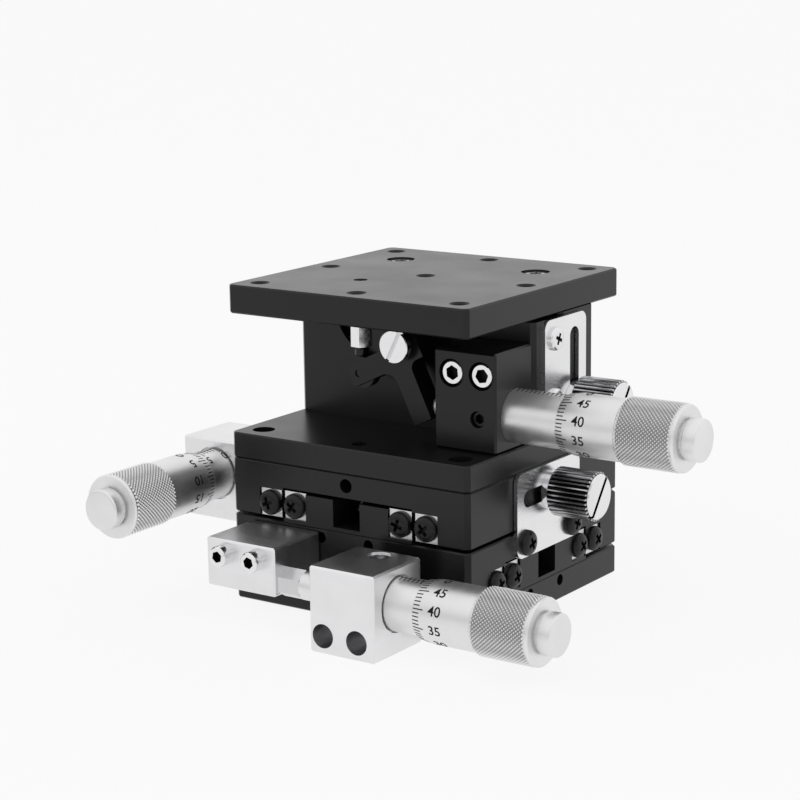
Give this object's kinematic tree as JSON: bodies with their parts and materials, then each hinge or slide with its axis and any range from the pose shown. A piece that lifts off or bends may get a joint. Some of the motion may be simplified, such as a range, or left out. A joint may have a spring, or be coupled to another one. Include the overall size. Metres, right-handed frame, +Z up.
{
  "type": "xyz translation stage",
  "caption": "Three-axis translation stage: stacked crossed-roller slides and a bell-crank lift, each driven by a micrometer head and held by a lock knob.",
  "frame": {"origin": "centre of the base plate's underside", "axes": "+Z up through the platform, +X towards the side with the X and lift micrometers, +Y away from the face that the bell crank is on"},
  "size_m": [0.1228, 0.1011, 0.0681],
  "materials": {
    "black_aluminium": "matt black anodised",
    "satin_aluminium": "satin",
    "bearing_steel": "ground",
    "satin_chrome": "satin",
    "steel_screws": "plated",
    "steel_knob": "knurled",
    "lever_steel": "milled",
    "black_steel": "black oxide",
    "sheet_steel": "satin sheet",
    "spring_steel": "drawn wire"
  },
  "bodies": {
    "base": {"base_plate": "black_aluminium", "x_inner_rails": "bearing_steel", "base_screws": "black_steel", "x_micrometer_block": "satin_aluminium", "x_block_screws": "steel_screws", "x_sleeve": "satin_chrome", "x_lock_plate": "sheet_steel", "x_return_spring": "spring_steel"},
    "x_spindle_slide": {"x_spindle": "bearing_steel"},
    "x_thimble_body": {"x_thimble": "satin_chrome", "x_thimble_cap": "satin_chrome"},
    "x_cages": {"x_roller_cages": "bearing_steel"},
    "x_stage": {"x_table": "black_aluminium", "x_outer_rails": "bearing_steel", "y_inner_rails": "bearing_steel", "x_table_screws": "black_steel", "x_anvil_block": "satin_aluminium", "x_anvil": "bearing_steel", "x_anvil_screws": "steel_screws", "y_micrometer_block": "satin_aluminium", "y_block_screws": "steel_screws", "y_sleeve": "satin_chrome", "y_lock_plate": "sheet_steel", "y_return_spring": "spring_steel"},
    "x_lock": {"x_lock_knob": "steel_knob"},
    "y_spindle_slide": {"y_spindle": "bearing_steel"},
    "y_thimble_body": {"y_thimble": "satin_chrome", "y_thimble_cap": "satin_chrome"},
    "y_cages": {"y_roller_cages": "bearing_steel"},
    "y_stage": {"y_table": "black_aluminium", "y_outer_rails": "bearing_steel", "y_table_screws": "black_steel", "y_anvil_block": "satin_aluminium", "y_anvil": "bearing_steel", "y_anvil_screws": "steel_screws", "lift_base_plate": "black_aluminium", "lift_screws": "steel_screws", "fixed_column": "black_aluminium", "z_outer_rails": "bearing_steel", "z_micrometer_block": "black_aluminium", "z_block_screws": "steel_screws", "z_sleeve": "satin_chrome", "z_lock_plate": "sheet_steel", "z_lock_plate_screws": "steel_screws", "lever_pivot_screw": "steel_screws", "lever_pivot_bush": "bearing_steel", "z_return_spring": "spring_steel"},
    "y_lock": {"y_lock_knob": "steel_knob"},
    "z_spindle_slide": {"z_spindle": "bearing_steel"},
    "z_thimble_body": {"z_thimble": "satin_chrome", "z_thimble_cap": "satin_chrome"},
    "z_cages": {"z_roller_cages": "bearing_steel"},
    "bell_crank": {"lever": "lever_steel"},
    "lift_roller": {"lever_roller": "bearing_steel"},
    "lift_carriage": {"moving_column": "black_aluminium", "top_plate": "black_aluminium", "z_inner_rails": "bearing_steel", "carriage_screws": "steel_screws", "lift_anvil": "bearing_steel"},
    "z_lock": {"z_lock_knob": "steel_knob"}
  },
  "joints": [
    {"name": "x_feed", "type": "slide", "parent": "base", "child": "x_spindle_slide", "axis": [1, 0, 0], "range_m": [-0.0065, 0.0065]},
    {"name": "x_thimble_turn", "type": "hinge", "parent": "x_spindle_slide", "child": "x_thimble_body", "pos_m": [0.04, -0.042, 0.0103], "axis": [1, 0, 0], "range_deg": [-4681, 4681]},
    {"name": "x_travel", "type": "slide", "parent": "base", "child": "x_stage", "axis": [1, 0, 0], "range_m": [-0.0065, 0.0065], "deforming": ["x_return_spring"]},
    {"name": "x_cage_travel", "type": "slide", "parent": "base", "child": "x_cages", "axis": [1, 0, 0], "range_m": [-0.00325, 0.00325]},
    {"name": "x_lock_turn", "type": "hinge", "parent": "x_stage", "child": "x_lock", "pos_m": [0, 0.037, 0.0131], "axis": [0, 1, 0], "range_deg": [0, 270]},
    {"name": "y_feed", "type": "slide", "parent": "x_stage", "child": "y_spindle_slide", "axis": [0, -1, 0], "range_m": [-0.0065, 0.0065]},
    {"name": "y_thimble_turn", "type": "hinge", "parent": "y_spindle_slide", "child": "y_thimble_body", "pos_m": [-0.042, -0.04, 0.0239], "axis": [0, -1, 0], "range_deg": [-4681, 4681]},
    {"name": "y_travel", "type": "slide", "parent": "x_stage", "child": "y_stage", "axis": [0, 1, 0], "range_m": [-0.0065, 0.0065], "deforming": ["y_return_spring"]},
    {"name": "y_cage_travel", "type": "slide", "parent": "x_stage", "child": "y_cages", "axis": [0, 1, 0], "range_m": [-0.00325, 0.00325]},
    {"name": "y_lock_turn", "type": "hinge", "parent": "y_stage", "child": "y_lock", "pos_m": [0.037, 0, 0.0255], "axis": [1, 0, 0], "range_deg": [0, 270]},
    {"name": "z_feed", "type": "slide", "parent": "y_stage", "child": "z_spindle_slide", "axis": [1, 0, 0], "range_m": [-0.00993, 0.00053]},
    {"name": "z_thimble_turn", "type": "hinge", "parent": "z_spindle_slide", "child": "z_thimble_body", "pos_m": [0.055, -0.0114, 0.0434], "axis": [1, 0, 0], "range_deg": [-7150, 380]},
    {"name": "z_lever_swing", "type": "hinge", "parent": "y_stage", "child": "bell_crank", "pos_m": [0.0032, -0.0114, 0.0558], "axis": [0, 1, 0], "range_deg": [-2.4, 42.8]},
    {"name": "lift_roller_turn", "type": "hinge", "parent": "bell_crank", "child": "lift_roller", "pos_m": [-0.00796, -0.0114, 0.04854], "axis": [0, 1, 0], "continuous": true},
    {"name": "z_travel", "type": "slide", "parent": "y_stage", "child": "lift_carriage", "axis": [0, 0, 1], "range_m": [-0.0005, 0.0095], "deforming": ["z_return_spring"]},
    {"name": "z_cage_travel", "type": "slide", "parent": "y_stage", "child": "z_cages", "axis": [0, 0, 1], "range_m": [-0.00025, 0.00475]},
    {"name": "z_lock_turn", "type": "hinge", "parent": "lift_carriage", "child": "z_lock", "pos_m": [0.037, 0.0095, 0.043], "axis": [1, 0, 0], "range_deg": [0, 270]}
  ],
  "couplings": [
    {"joint": "x_thimble_turn", "follows": "x_travel", "rad_per_m": 12566},
    {"joint": "x_feed", "follows": "x_travel", "ratio": 1},
    {"joint": "x_cage_travel", "follows": "x_travel", "ratio": 0.5},
    {"joint": "y_thimble_turn", "follows": "y_travel", "rad_per_m": -12566},
    {"joint": "y_feed", "follows": "y_travel", "ratio": -1},
    {"joint": "y_cage_travel", "follows": "y_travel", "ratio": 0.5},
    {"joint": "z_thimble_turn", "follows": "z_travel", "rad_per_m": -13118},
    {"joint": "z_feed", "follows": "z_travel", "ratio": -1.0439},
    {"joint": "z_lever_swing", "follows": "z_travel", "rad_per_m": 78.37},
    {"joint": "z_cage_travel", "follows": "z_travel", "ratio": 0.5}
  ]
}
